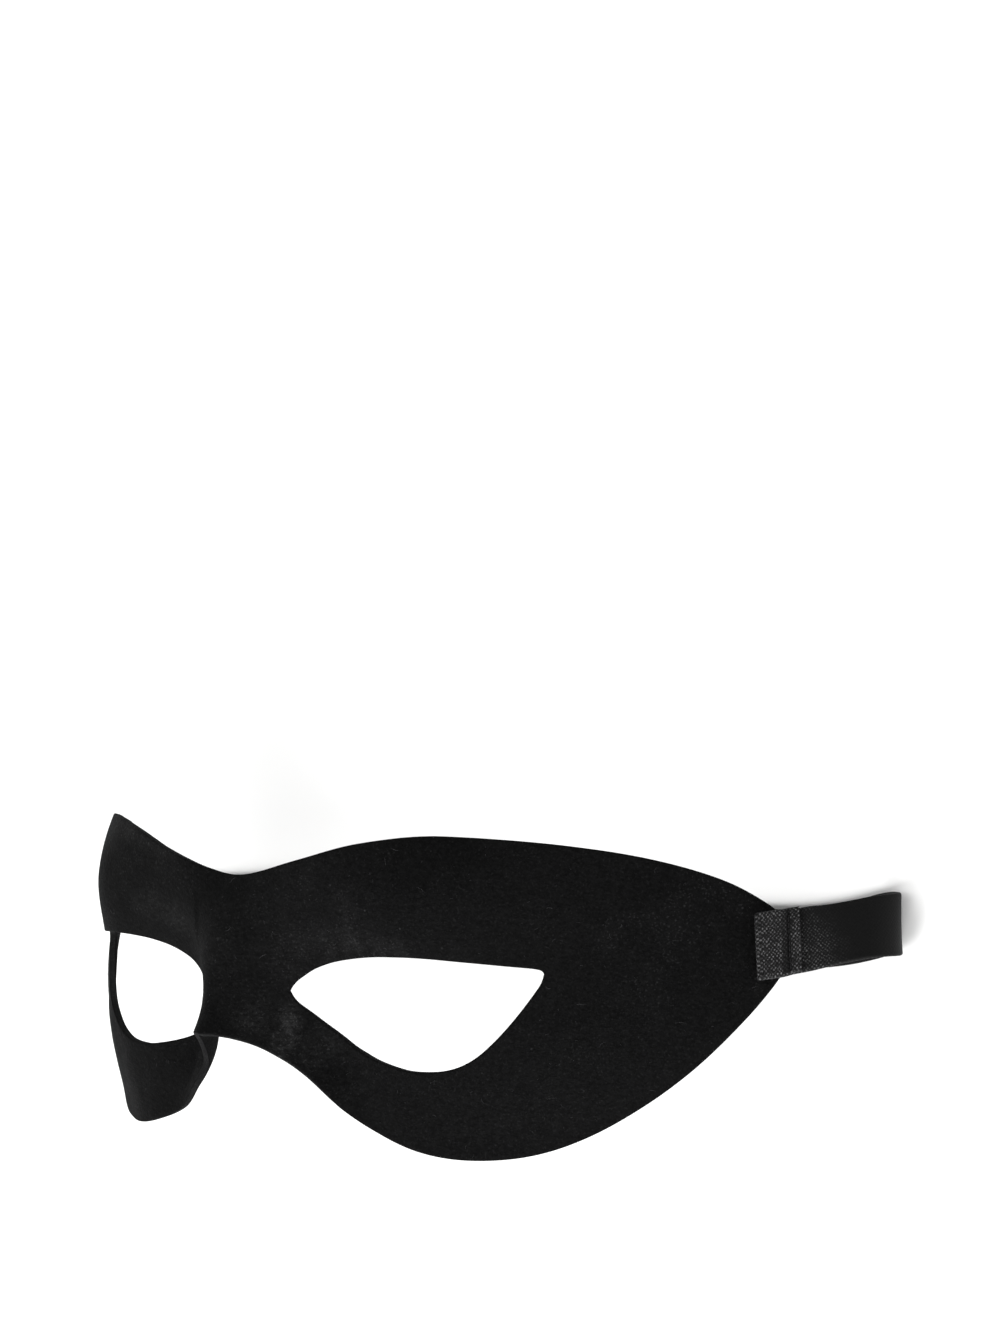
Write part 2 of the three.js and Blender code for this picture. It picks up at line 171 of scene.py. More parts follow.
# ------------------------------------------------------------------ materials
class Nodes:
    """A few short words for building a material."""

    def __init__(self, name):
        self.material = bpy.data.materials.new(name)
        self.material.use_nodes = True
        self.tree = self.material.node_tree
        self.tree.nodes.clear()
        self.out = self.tree.nodes.new("ShaderNodeOutputMaterial")
        self.shader = self.tree.nodes.new("ShaderNodeBsdfPrincipled")
        self.link(self.shader.outputs["BSDF"], self.out.inputs["Surface"])

    def link(self, a, b):
        self.tree.links.new(a, b)

    def put(self, socket, value):
        if isinstance(value, bpy.types.NodeSocket):
            self.link(value, socket)
        else:
            socket.default_value = value

    def new(self, kind, **options):
        node = self.tree.nodes.new(kind)
        for key, value in options.items():
            setattr(node, key, value)
        return node

    def place(self):
        return self.new("ShaderNodeTexCoord").outputs["Object"]

    def noise(self, place, scale, detail=2.0, rough=0.5, distort=0.0):
        n = self.new("ShaderNodeTexNoise")
        self.link(place, n.inputs["Vector"])
        for key, value in (("Scale", scale), ("Detail", detail), ("Roughness", rough), ("Distortion", distort)):
            n.inputs[key].default_value = value
        return n.outputs["Fac"]

    def math(self, operation, a, b=0.0, clamp=False):
        n = self.new("ShaderNodeMath", operation=operation, use_clamp=clamp)
        self.put(n.inputs[0], a)
        self.put(n.inputs[1], b)
        return n.outputs[0]

    def span(self, value, low, high, to_low=0.0, to_high=1.0, smooth=True):
        n = self.new("ShaderNodeMapRange", interpolation_type="SMOOTHSTEP" if smooth else "LINEAR")
        self.put(n.inputs["Value"], value)
        for key, v in (("From Min", low), ("From Max", high), ("To Min", to_low), ("To Max", to_high)):
            n.inputs[key].default_value = v
        return n.outputs["Result"]

    def mix(self, factor, a, b):
        n = self.new("ShaderNodeMix", data_type="RGBA")
        self.put(n.inputs["Factor"], factor)
        for socket, value in ((n.inputs[6], a), (n.inputs[7], b)):
            if isinstance(value, bpy.types.NodeSocket):
                self.link(value, socket)
            else:
                socket.default_value = (*value, 1) if not np.isscalar(value) else (value, value, value, 1)
        return n.outputs[2]

    def bump(self, height, distance, strength=1.0, before=None):
        n = self.new("ShaderNodeBump")
        n.inputs["Strength"].default_value = strength
        n.inputs["Distance"].default_value = distance
        self.link(height, n.inputs["Height"])
        if before is not None:
            self.link(before, n.inputs["Normal"])
        return n.outputs["Normal"]

    def stretch(self, place, scale, turn=(0, 0, 0)):
        n = self.new("ShaderNodeMapping")
        self.link(place, n.inputs["Vector"])
        n.inputs["Scale"].default_value = scale
        n.inputs["Rotation"].default_value = turn
        return n.outputs["Vector"]

    def set(self, **values):
        for key, value in values.items():
            self.put(self.shader.inputs[key.replace("_", " ")], value)


def places(m, at, spots):
    """How strongly a point lies in any of the places; a place is its centre,
    half sizes and strength, in metres."""
    total = None
    for centre, half, strength in spots:
        off = m.new("ShaderNodeVectorMath", operation="SUBTRACT")
        m.link(at, off.inputs[0])
        off.inputs[1].default_value = centre
        part = m.new("ShaderNodeVectorMath", operation="DIVIDE")
        m.link(off.outputs[0], part.inputs[0])
        part.inputs[1].default_value = half
        far = m.new("ShaderNodeVectorMath", operation="LENGTH")
        m.link(part.outputs[0], far.inputs[0])
        spot = m.span(far.outputs["Value"], 0.0, 1.5, strength, 0.0)
        total = spot if total is None else m.math("MAXIMUM", total, spot)
    return total


def nap_material(name, dark, light, grain_bump, sheen, gloss, highlight_places=(), shade_places=()):
    """Short dense nap: dark and matt, brushed lighter in cloudy areas, with
    painted highlights of its sheen, partly brushed nap, at the highlight
    places, and painted shade with less sheen at the shade places."""
    m = Nodes(name)
    at = m.place()
    grain = m.noise(at, 2700, 2.0, 0.6)
    tuft = m.noise(m.stretch(at, (1.0, 1.6, 1.25), (0.2, 0.3, 0.5)), 900, 2.0, 0.55)
    mottle = m.noise(at, 300, 3.0, 0.6)
    cloud = m.noise(at, 62, 4.0, 0.55, 0.6)
    broad = m.noise(at, 24, 2.0, 0.5, 0.3)
    strands = m.noise(m.stretch(at, (1.0, 2.6, 1.4), (0.5, 0.2, 0.75)), 640, 2.0, 0.6, 0.5)
    brushed = m.math("MULTIPLY", m.span(cloud, 0.46, 0.7), m.span(broad, 0.42, 0.6, 0.25, 1.0))

    highlight, flat = places(m, at, highlight_places), places(m, at, shade_places)
    tone = m.math("ADD", m.math("MULTIPLY", m.span(grain, 0.36, 0.66), 0.34), m.math("MULTIPLY", m.span(tuft, 0.38, 0.64), 0.26))
    tone = m.math("ADD", tone, m.math("MULTIPLY", m.span(mottle, 0.4, 0.68), 0.12))
    tone = m.math("ADD", tone, m.math("MULTIPLY", brushed, 0.24), clamp=True)
    colour = m.mix(tone, dark, light)
    # painted glints: single fibre tips that catch the light
    tips = m.span(m.noise(at, 2300, 1.5, 0.5), 0.59, 0.7)
    glint_strength = m.span(brushed, 0.0, 0.8, 0.14, 0.42)
    if highlight is not None:
        # highlight places: painted highlights of the nap's sheen, partly brushed nap, in pale crossing strands with
        # dark pits
        patchy_highlight = m.math("MULTIPLY", highlight, m.span(mottle, 0.34, 0.6, 0.55, 1.0))
        glint_strength = m.math("ADD", glint_strength, patchy_highlight, clamp=True)
        tangle = m.math("MULTIPLY", m.span(strands, 0.4, 0.62), m.span(grain, 0.3, 0.6, 0.4, 1.0))
        colour = m.mix(m.math("MULTIPLY", patchy_highlight, m.math("ADD", m.math("MULTIPLY", tangle, 0.75), 0.25), clamp=True), colour, tuple(2.7 * c for c in light))
    colour = m.mix(m.math("MULTIPLY", tips, glint_strength), colour, tuple(4.2 * c for c in light))
    # painted shade: darker nap with less sheen at the shade places
    if flat is not None:
        colour = m.mix(flat, colour, tuple(0.5 * c for c in dark))
        sheen = m.math("MULTIPLY", m.math("SUBTRACT", 1.0, m.math("MULTIPLY", flat, 0.7)), sheen)
    # lint: a few pale specks
    lint = m.new("ShaderNodeTexVoronoi", feature="F1")
    m.link(at, lint.inputs["Vector"])
    lint.inputs["Scale"].default_value = 260
    keep = m.new("ShaderNodeSeparateColor")
    m.link(lint.outputs["Color"], keep.inputs[0])
    speck = m.math("MULTIPLY", m.span(lint.outputs["Distance"], 0.03, 0.075, 1.0, 0.0), m.span(keep.outputs[0], 0.55, 0.9))
    colour = m.mix(m.math("MULTIPLY", speck, 0.4), colour, (0.04, 0.04, 0.041))
    m.set(Base_Color=colour, Roughness=m.span(grain, 0.3, 0.7, 0.88, 0.98), Specular_IOR_Level=gloss, Sheen_Weight=sheen, Sheen_Roughness=0.4, Sheen_Tint=(0.85, 0.86, 0.88, 1))
    height = m.math("ADD", m.math("MULTIPLY", grain, 0.6), m.math("MULTIPLY", tuft, 0.7))
    nap = m.bump(height, 0.00025, grain_bump)
    m.set(Normal=m.bump(m.math("ADD", cloud, m.math("MULTIPLY", mottle, 0.25)), 0.0014, 0.3, nap))
    return m.material


def cut_material():
    """The cut edge: the fibre ends of the sheet's core, a little paler."""
    m = Nodes("cut_edge")
    at = m.place()
    fibre = m.noise(at, 3600, 3.0, 0.65)
    patch = m.noise(at, 420, 2.0, 0.5)
    tone = m.math("MULTIPLY", m.span(fibre, 0.35, 0.68), m.span(patch, 0.3, 0.65, 0.35, 1.0))
    lit_corner = places(m, at, (((-0.0600, -0.0050, 0.0595), (0.0120, 0.0120, 0.0120), 0.62), ((0.0611, -0.0050, 0.0595), (0.0120, 0.0120, 0.0120), 0.62)))
    colour = m.mix(tone, (0.0034, 0.0034, 0.0035), (0.0125, 0.0125, 0.0127))
    colour = m.mix(lit_corner, colour, m.mix(tone, (0.016, 0.016, 0.0162), (0.034, 0.034, 0.0345)))  # painted light: paler cut edge at the outer eye corners, lifting the shade on its wall
    m.set(Base_Color=colour, Roughness=0.95, Specular_IOR_Level=0.02, Sheen_Weight=0.024, Sheen_Roughness=0.5, Sheen_Tint=(0.85, 0.85, 0.87, 1))
    m.set(Normal=m.bump(fibre, 0.00025, 0.8))
    return m.material


def elastic_material():
    """Knitted elastic. One attribute gives the place on the band (millimetres
    along and across) and how far the knit is open, the other the painted
    highlights on its loops there and the painted shade by the seam and the cut end."""
    m = Nodes("black_knitted_elastic")
    split = []
    for name in ("weave", "glint_and_shade"):
        place = m.new("ShaderNodeAttribute", attribute_name=name, attribute_type="GEOMETRY")
        xyz = m.new("ShaderNodeSeparateXYZ")
        m.link(place.outputs["Vector"], xyz.inputs[0])
        split.append(xyz.outputs)
    along, across, open_ = split[0]
    bright, dark, _ = split[1]
    at = m.place()
    wander = m.math("MULTIPLY", m.math("SUBTRACT", m.noise(at, 900, 2.0), 0.5), 3.0)

    def ridge(value, pitch, phase=0.0):
        turned = m.math("ADD", m.math("MULTIPLY", value, 2 * math.pi / pitch), phase)
        return m.math("SINE", m.math("ADD", turned, wander))

    loops = m.math("MULTIPLY", ridge(along, 0.74), ridge(across, 0.84, 0.4))
    wales = m.math("MULTIPLY", ridge(across, 1.12, 0.4), m.span(open_, 0, 1, 0.06, 0.5, smooth=False))
    fuzz = m.noise(at, 2600, 2.5, 0.6)
    glint = m.span(m.noise(at, 3300, 1.0, 0.5), 0.46, 0.63)
    patch = m.span(m.noise(at, 330, 2.0), 0.3, 0.62, 0.45, 1.1)
    lumps = m.span(loops, -0.2, 0.55, 0.05, 1.0)
    seen = m.span(open_, 0.0, 1.0, 0.015, 1.0, smooth=False)
    # painted highlights: the loops glint pale where the attribute is bright
    tone = m.math("MULTIPLY", m.math("MULTIPLY", lumps, m.math("ADD", m.math("MULTIPLY", glint, 0.9), 0.1)), seen)
    tone = m.math("MULTIPLY", m.math("MULTIPLY", tone, patch), bright, clamp=True)
    base = m.mix(open_, (0.0029, 0.0029, 0.00293), (0.0044, 0.0044, 0.00445))
    base = m.mix(m.math("MULTIPLY", m.span(fuzz, 0.35, 0.7), 0.3), base, (0.0072, 0.0072, 0.0073))
    colour = m.mix(tone, base, (0.118, 0.118, 0.12))
    # painted shade by the seam and the cut end
    colour = m.mix(dark, colour, (0.0022, 0.0022, 0.0023))
    m.set(Base_Color=colour, Roughness=m.span(loops, -1, 1, 0.75, 0.6), Specular_IOR_Level=0.09, Sheen_Weight=0.036, Sheen_Roughness=0.35, Sheen_Tint=(0.85, 0.86, 0.9, 1))
    height = m.math("MULTIPLY", loops, m.span(open_, 0, 1, 0.15, 1.0, smooth=False))
    height = m.math("ADD", height, wales)
    height = m.math("ADD", height, m.math("MULTIPLY", fuzz, 0.8))
    m.set(Normal=m.bump(height, 0.00006, 0.9))
    return m.material


def thread_material():
    m = Nodes("black_sewing_thread")
    at = m.place()
    twist = m.noise(at, 5200, 2.0)
    m.set(Base_Color=m.mix(twist, (0.0045, 0.0045, 0.0045), (0.02, 0.02, 0.021)), Roughness=0.5, Specular_IOR_Level=0.15, Sheen_Weight=0.05)
    m.set(Normal=m.bump(twist, 0.00005, 0.6))
    return m.material


def lint_material():
    m = Nodes("grey_lint")
    m.set(Base_Color=m.mix(m.noise(m.place(), 900, 1.0), (0.03, 0.03, 0.031), (0.09, 0.09, 0.095)), Roughness=0.8, Specular_IOR_Level=0.1)
    return m.material


# Painted highlights: pale patches where the nap's sheen catches the lamps, partly brushed nap; centre, half sizes and
# strength, in metres.
PAINTED_HIGHLIGHTS = (
    ((-0.0435, 0.0305, 0.0650), (0.0070, 0.0045, 0.014), 0.9),  # tip and edge of the far brow
    ((-0.0350, 0.0303, 0.0695), (0.0070, 0.0026, 0.010), 0.85),
    ((-0.0270, 0.0297, 0.0727), (0.0060, 0.0024, 0.008), 0.6),
    ((-0.0192, 0.0282, 0.0748), (0.0055, 0.0018, 0.008), 0.4),
    ((-0.0255, 0.0168, 0.0746), (0.0065, 0.0038, 0.010), 0.4),  # along the far eye
    ((-0.0180, 0.0148, 0.0757), (0.0065, 0.0036, 0.010), 0.5),
    ((-0.0128, 0.0128, 0.0772), (0.0038, 0.0040, 0.010), 0.25),
    ((0.0002, 0.0150, 0.0822), (0.0048, 0.0080, 0.006), 0.28),  # between the brows
    ((0.0100, 0.0180, 0.0780), (0.0045, 0.0040, 0.010), 0.12),
    ((0.0168, 0.0120, 0.0758), (0.0050, 0.0036, 0.009), 0.26),  # along the near eye
    ((0.0235, 0.0120, 0.0745), (0.0055, 0.0038, 0.009), 0.3),
    ((0.0295, 0.0125, 0.0739), (0.0050, 0.0038, 0.009), 0.44),
    ((0.0295, 0.0180, 0.0744), (0.0032, 0.0052, 0.009), 0.26),
    ((0.0375, 0.0108, 0.0728), (0.0065, 0.0028, 0.009), 0.34),
    ((0.0122, 0.0075, 0.0772), (0.0028, 0.0050, 0.009), 0.16),
    ((0.0078, -0.0018, 0.0832), (0.0048, 0.0052, 0.006), 0.45),  # under the bridge
    ((0.0120, -0.0056, 0.0783), (0.0019, 0.0052, 0.006), 1.35),  # beside the nose
    ((0.0165, -0.0105, 0.0752), (0.0062, 0.0050, 0.008), 0.5),
    ((0.0222, -0.0165, 0.0748), (0.0065, 0.0055, 0.008), 0.3),
    ((-0.0211, -0.0153, 0.0735), (0.0014, 0.0070, 0.006), 0.4),  # fold of the far cheek
)
# Painted shade: darker nap with less sheen where the lamps light the form beside the bridge and at the far cheek's
# outer edge.
PAINTED_SHADE = (
    ((-0.0087, 0.0150, 0.0786), (0.0016, 0.0060, 0.005), 0.75),  # beside the bridge
    ((-0.0540, -0.0140, 0.0655), (0.0045, 0.0140, 0.010), 0.4),  # outer edge of the far cheek
)
front_nap = nap_material("black_nap_face", (0.0022, 0.0022, 0.00222), (0.0074, 0.0074, 0.0075), 1.0, 0.022, 0.03, PAINTED_HIGHLIGHTS, PAINTED_SHADE)
# Painted shade: the back of the sheet is a darker, less glossy copy of the face nap.
shaded_back_nap = nap_material("black_nap_back", (0.0018, 0.0018, 0.00182), (0.0042, 0.0042, 0.0043), 0.6, 0.004, 0.012)
cut_edge = cut_material()
elastic = elastic_material()
thread = thread_material()
lint = lint_material()


# ------------------------------------------------------------------ the sheet
def build_sheet():
    nose, eye, side, rows = 26, 116, 46, 26
    xs = [EYE_INNER[0] * i / nose for i in range(nose)]
    for i in range(eye):
        f = i / eye
        f = 0.35 * f + 0.65 * (1 - math.cos(math.pi * f)) / 2
        f *= 1 - 0.72 * math.exp(-i / 5.0)  # closer together at the inner corner
        xs.append(EYE_INNER[0] + (EYE_OUTER[0] - EYE_INNER[0]) * f)
    for i in range(side + 1):
        f = i / side
        f = 0.6 * f + 0.4 * math.sin(math.pi / 2 * f)
        xs.append(EYE_OUTER[0] + (END - EYE_OUTER[0]) * f)
    every = [-x for x in xs[:0:-1]] + xs

    where = []  # x and z of each front vertex

    def add(x, z):
        where.append((x, z))
        return len(where) - 1

    columns = []
    for x in every:
        a = abs(x)
        is_open = EYE_INNER[0] + 1e-6 < a < EYE_OUTER[0] - 1e-6
        low_line = eye_low_at(a) if is_open else eye_line(a)
        top_line = eye_top_at(a) if is_open else low_line
        lower = [add(x, low_at(a) + (low_line - low_at(a)) * j / rows) for j in range(rows + 1)]
        upper = [lower[-1] if j == 0 and not is_open else add(x, top_line + (top_at(a) - top_line) * j / rows) for j in range(rows + 1)]
        columns.append((is_open, lower, upper))

    where = np.array(where)
    x, z = where[:, 0], where[:, 1]
    lift = waves(x, z)
    face = on_form(x, z, lift)
    back = on_form(x, z, lift - SHEET)
    n = normal(x, z)
    count = len(where)
    co = [face, back]
    faces, kinds = [], []
    for L, R in zip(columns, columns[1:]):
        for part in (1, 2):
            for j in range(rows):
                a, b, c, d = L[part][j], R[part][j], R[part][j + 1], L[part][j + 1]
                faces.append((a, b, c, d))
                faces.append((a + count, d + count, c + count, b + count))
                kinds += [0, 1]

    # closed edge loops, each with the material on its left
    last = columns[-1]
    first = columns[0]
    outer = [c[1][0] for c in columns]
    outer += last[1][1:] + last[2][1:]
    outer += [c[2][-1] for c in reversed(columns[:-1])]
    outer += list(reversed(first[2][:-1])) + list(reversed(first[1][1:-1]))
    loops = [outer]
    opened = [i for i, c in enumerate(columns) if c[0]]
    groups = [[i for i in opened if every[i] < 0], [i for i in opened if every[i] > 0]]
    for g in groups:
        start, stop = g[0] - 1, g[-1] + 1
        loops.append([columns[start][1][-1]] + [columns[i][2][0] for i in g] + [columns[stop][1][-1]] + [columns[i][1][-1] for i in reversed(g)])

    r = 0.34
    profile = [(r * (1 - math.sin(q)), r * (1 - math.cos(q))) for q in (math.radians(d) for d in (30, 60, 90))]
    profile = profile + [(-0.03, SHEET / 2)] + [(i, SHEET - d) for i, d in reversed(profile)]
    total = 2 * count
    pulled = np.zeros((count, 3))
    for loop in loops:
        p = face[loop]
        t = np.roll(p, -1, 0) - np.roll(p, 1, 0)
        t /= np.linalg.norm(t, axis=1, keepdims=True)
        inward = np.cross(n[loop], t)
        inward /= np.linalg.norm(inward, axis=1, keepdims=True)
        for _ in range(2):  # sharp corners turn over a few steps
            inward = (np.roll(inward, 1, 0) + inward * 2 + np.roll(inward, -1, 0)) / 4
            inward /= np.linalg.norm(inward, axis=1, keepdims=True)
        rings = [np.array(loop)]
        for inset, deep in profile:
            co.append(p - n[loop] * deep + inward * inset)
            rings.append(np.arange(total, total + len(loop)))
            total += len(loop)
        rings.append(np.array(loop) + count)
        pulled[loop] = inward * r
        m = len(loop)
        for k, (ra, rb) in enumerate(zip(rings, rings[1:])):
            kind = 0 if k < 2 else 1 if k > len(rings) - 4 else 2
            for i in range(m):
                j = (i + 1) % m
                faces.append((ra[i], rb[i], rb[j], ra[j]))
                kinds.append(kind)
    # the surface beside an edge follows it, less and less, over 2.5 mm
    rim = np.concatenate([np.array(loop) for loop in loops])
    rest = np.setdiff1d(np.arange(count), rim)
    for some in np.array_split(rest, 40):
        gap = np.linalg.norm(face[some][:, None] - face[rim][None], axis=2)
        near = gap.argmin(1)
        fade = np.clip(1 - gap[np.arange(len(some)), near] / 2.5, 0, 1) ** 2
        pulled[some] = pulled[rim[near]] * fade[:, None]
    face += pulled
    back += pulled
    co = np.concatenate(co)

    # short loose fibres that cling to the nap
    rng = np.random.default_rng(23)
    fibres = []
    for _ in range(420):
        fx = rng.uniform(-93, 93)
        a = abs(fx)
        fz = rng.uniform(low_at(a) + 1.2, top_at(a) - 1.2)
        if EYE_INNER[0] - 1 < a < EYE_OUTER[0] + 1 and eye_low_at(min(max(a, 12), 61.9)) - 1.2 < fz < eye_top_at(min(max(a, 12), 61.9)) + 1.2:
            continue
        length = rng.choice([0.35, 0.5, 0.8, 1.4], p=[0.35, 0.35, 0.22, 0.08]) * rng.uniform(0.7, 1.2)
        turn, bend = rng.uniform(0, 2 * math.pi), rng.uniform(-2.2, 2.2)
        steps = 7
        u = np.linspace(-0.5, 0.5, steps)
        way = turn + bend * u
        step = length / (steps - 1)
        qx = fx + np.cumsum(np.cos(way)) * step
        qz = fz + np.cumsum(np.sin(way)) * step
        off = 0.05 + 0.09 * np.abs(np.sin(math.pi * (u + 0.5) + rng.uniform(0, 2)))
        line = on_form(qx, qz, off + waves(qx, qz))
        t = np.gradient(line, axis=0)
        t /= np.linalg.norm(t, axis=1, keepdims=True)
        up = normal(qx, qz)
        across = np.cross(t, up)
        base = len(co) + sum(len(f) for f in fibres)
        thick = rng.uniform(0.013, 0.026) * np.sqrt(np.clip(1 - (2 * u) ** 4, 0.15, 1))
        ring = [line + (across * math.cos(g) + up * math.sin(g)) * thick[:, None] for g in (0, 2 * math.pi / 3, 4 * math.pi / 3)]
        fibres.append(np.stack(ring, 1).reshape(-1, 3))
        for i in range(steps - 1):
            for k in range(3):
                j = (k + 1) % 3
                faces.append((base + 3 * i + k, base + 3 * i + j, base + 3 * i + 3 + j, base + 3 * i + 3 + k))
                kinds.append(3)
        faces.append((base + 2, base + 1, base))
        faces.append(tuple(base + 3 * (steps - 1) + k for k in range(3)))
        kinds += [3, 3]
    co = laid(np.concatenate([co, *fibres]))
    return make_object("moulded_sheet", co, faces, (front_nap, shaded_back_nap, cut_edge, lint), face_material=kinds)


sheet = build_sheet()
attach(sheet, "root")
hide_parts("mask_sheet")

# ------------------------------------------------------------------ the band
BAND_WIDTH = 12.7
FREE_WIDTH = 11.9
FREE_FROM, FREE_EASE = 9.0, 8.0
FOLD_SKEW, CUT_SKEW = 0.1086, 0.1465
BAND_THICK = 1.1
HEM = 8.7
SEAM_GAP = 0.5
BAND_EASE = 1.64
BAND_STRAIGHT = 16.74
BAND_TURN = 11.04
BAND_TUCK = 9.8
LEAN = math.radians(23)
TURN_DROP = math.radians(0.17)
RISE_LEFT, RISE_RIGHT = 0.186, -0.2
YAW_LEFT, YAW_RIGHT = math.radians(16.6), math.radians(-2)
RUN_MIDDLE = 0.94
SEWN = (90.28, 16.33)
SEWN_ALONG = Vector((0.66, 0.739, 0.138))
SEWN_ACROSS = Vector((-0.231, 0.064, 0.971))
SEWN_LENGTH = 5.2
ALONG = Vector((1, 1, 0)).normalized()
BACK = Vector((-1, 1, 0)).normalized()
UP = Vector((0, 0, 1))


def turn_frame(t, w):
    t = t.normalized()
    w = (w - t * w.dot(t)).normalized()
    return Matrix((t, w, t.cross(w))).transposed().to_quaternion()


def side_stations(rise, straight, yaw):
    """Middle points in millimetres and turns of one side, drawn at +X."""
    out = []
    lift = SEAM_GAP + BAND_THICK / 2
    steps = 52
    for i in range(steps + 1):
        f = SEWN_LENGTH * i / steps
        qx, qz = SEWN[0] + SEWN_ALONG.x * f, SEWN[1] + SEWN_ALONG.z * f
        n = Vector(normal(np.array(qx), np.array(qz)))
        t = SEWN_ALONG - n * SEWN_ALONG.dot(n)
        p = Vector(laid(on_form(np.array(qx), np.array(qz), np.array(lift)))) * 1000
        out.append((p, turn_frame(laid_dir(t), laid_dir(SEWN_ACROSS))))
    leg_way = ALONG + UP * rise
    across = (UP - ALONG * rise).normalized() * math.cos(LEAN) + BACK * math.sin(LEAN)
    leg = turn_frame(laid_dir(leg_way), laid_dir(across))
    turned = turn_frame(laid_dir(BACK - UP * math.tan(TURN_DROP)), laid_dir(UP))
    flat = turn_frame(Vector((-math.cos(yaw), -math.sin(yaw), 0)), Vector((-math.sin(yaw), math.cos(yaw), 0)))

    def chain(a, b, length, n):
        if a.dot(b) < 0:
            b = -b
        for i in range(1, n + 1):
            mid = a.slerp(b, (i - 0.5) / n)
            p = out[-1][0] + mid @ Vector((1, 0, 0)) * (length / n)
            out.append((p, a.slerp(b, i / n)))

    chain(out[-1][1], leg, BAND_EASE, 24)
    chain(leg, leg, straight - BAND_EASE - SEWN_LENGTH + 4.1, 44)
    chain(leg, turned, BAND_TURN, 44)
    chain(turned, flat, BAND_TUCK, 38)
    drop = -(leg @ Vector((1, 0, 0))).z
    return out, drop


def settled(rise, yaw):
    """The side whose far end meets the floor."""
    straight = BAND_STRAIGHT
    for _ in range(3):
        out, drop = side_stations(rise, straight, yaw)
        straight += (out[-1][0].z - BAND_THICK / 2) / drop
    return out


def ribbon_path():
    """Stations of the whole ribbon, each a point and a turn: the left side,
    the run along the floor and the right side."""
    left = settled(RISE_LEFT, YAW_LEFT)
    right = settled(RISE_RIGHT, YAW_RIGHT)
    a, b = left[-1][0], right[-1][0].copy()
    b.x = 2 * SHIFT[0] - b.x
    mid = Vector((SHIFT[0], RUN_MIDDLE + SHIFT[1], BAND_THICK / 2))
    run = []
    for start, stop, g0, g1 in ((a, mid, math.tan(YAW_LEFT), 0.0), (mid, b, 0.0, -math.tan(YAW_RIGHT))):
        d = stop.x - start.x
        steps = int(abs(d) / 0.8)
        for i in range(1 if start is a else 0, steps):
            s = i / steps
            y = (2 * s**3 - 3 * s**2 + 1) * start.y + (s**3 - 2 * s**2 + s) * g0 * d + (3 * s**2 - 2 * s**3) * stop.y + (s**3 - s**2) * g1 * d
            g = ((6 * s**2 - 6 * s) * start.y + (3 * s**2 - 4 * s + 1) * g0 * d + (6 * s - 6 * s**2) * stop.y + (3 * s**2 - 2 * s) * g1 * d) / d
            run.append((Vector((start.x + d * s, y, BAND_THICK / 2)), turn_frame(Vector((-1, -g, 0)), Vector((-g, 1, 0)))))
    return left, run, right


def side_ribbon(side):
    """One side from its raw end: over the turned-over end, round the fold and
    out along the side. Each: point, along, across, out, layer, distance from
    the fold, and how far the cross line goes along it per millimetre across."""
    s = [0.0]
    for p, q in zip(side, side[1:]):
        s.append(s[-1] + (q[0] - p[0]).length)
    s = np.array(s)

    def at(d):
        i = min(len(s) - 2, max(0, int(np.searchsorted(s, d, side="right")) - 1))
        f = (d - s[i]) / (s[i + 1] - s[i])
        p = side[i][0] + (side[i + 1][0] - side[i][0]) * f
        q = side[i][1].slerp(side[i + 1][1], f) if 0 <= f <= 1 else side[i][1]
        return p, q @ Vector((1, 0, 0)), q @ Vector((0, 1, 0)), q @ Vector((0, 0, 1))

    half = BAND_THICK / 2
    out = []
    d = HEM
    while d > BAND_THICK + 0.05:
        p, t, w, n = at(d)
        out.append((p + n * BAND_THICK, -t, w, -n, "flap", d, t * skew(d)))
        d -= 0.09
    for i in range(13):
        a = math.pi * i / 12
        p, t, w, n = at(BAND_THICK)
        centre = p + n * half
        out.append((centre + n * half * math.cos(a) - t * half * math.sin(a), -t * math.cos(a) - n * math.sin(a), w, -n * math.cos(a) + t * math.sin(a), "fold", half - half * math.sin(a), t * FOLD_SKEW))
    d = BAND_THICK + 0.35
    while d < s[-1] - 0.2:
        p, t, w, n = at(d)
        out.append((p, t, w, n, "band", d, t * skew(d)))
        d += 0.3 if d < 24 else 0.4
    p, t, w, n = at(s[-1])
    out.append((p, t, w, n, "band", float(s[-1]), Vector()))
    return out


def ease(x, a, b):
    t = min(1.0, max(0.0, (x - a) / (b - a)))
    return t * t * (3 - 2 * t)


def hump(x, at, wide):
    return math.exp(-(((x - at) / wide) ** 2))


def skew(d):
    """How askew the cross lines are at a length from the fold."""
    return FOLD_SKEW + (CUT_SKEW - FOLD_SKEW) * d / HEM if d < HEM else CUT_SKEW * max(0.0, 1 - (d - HEM) / 8)


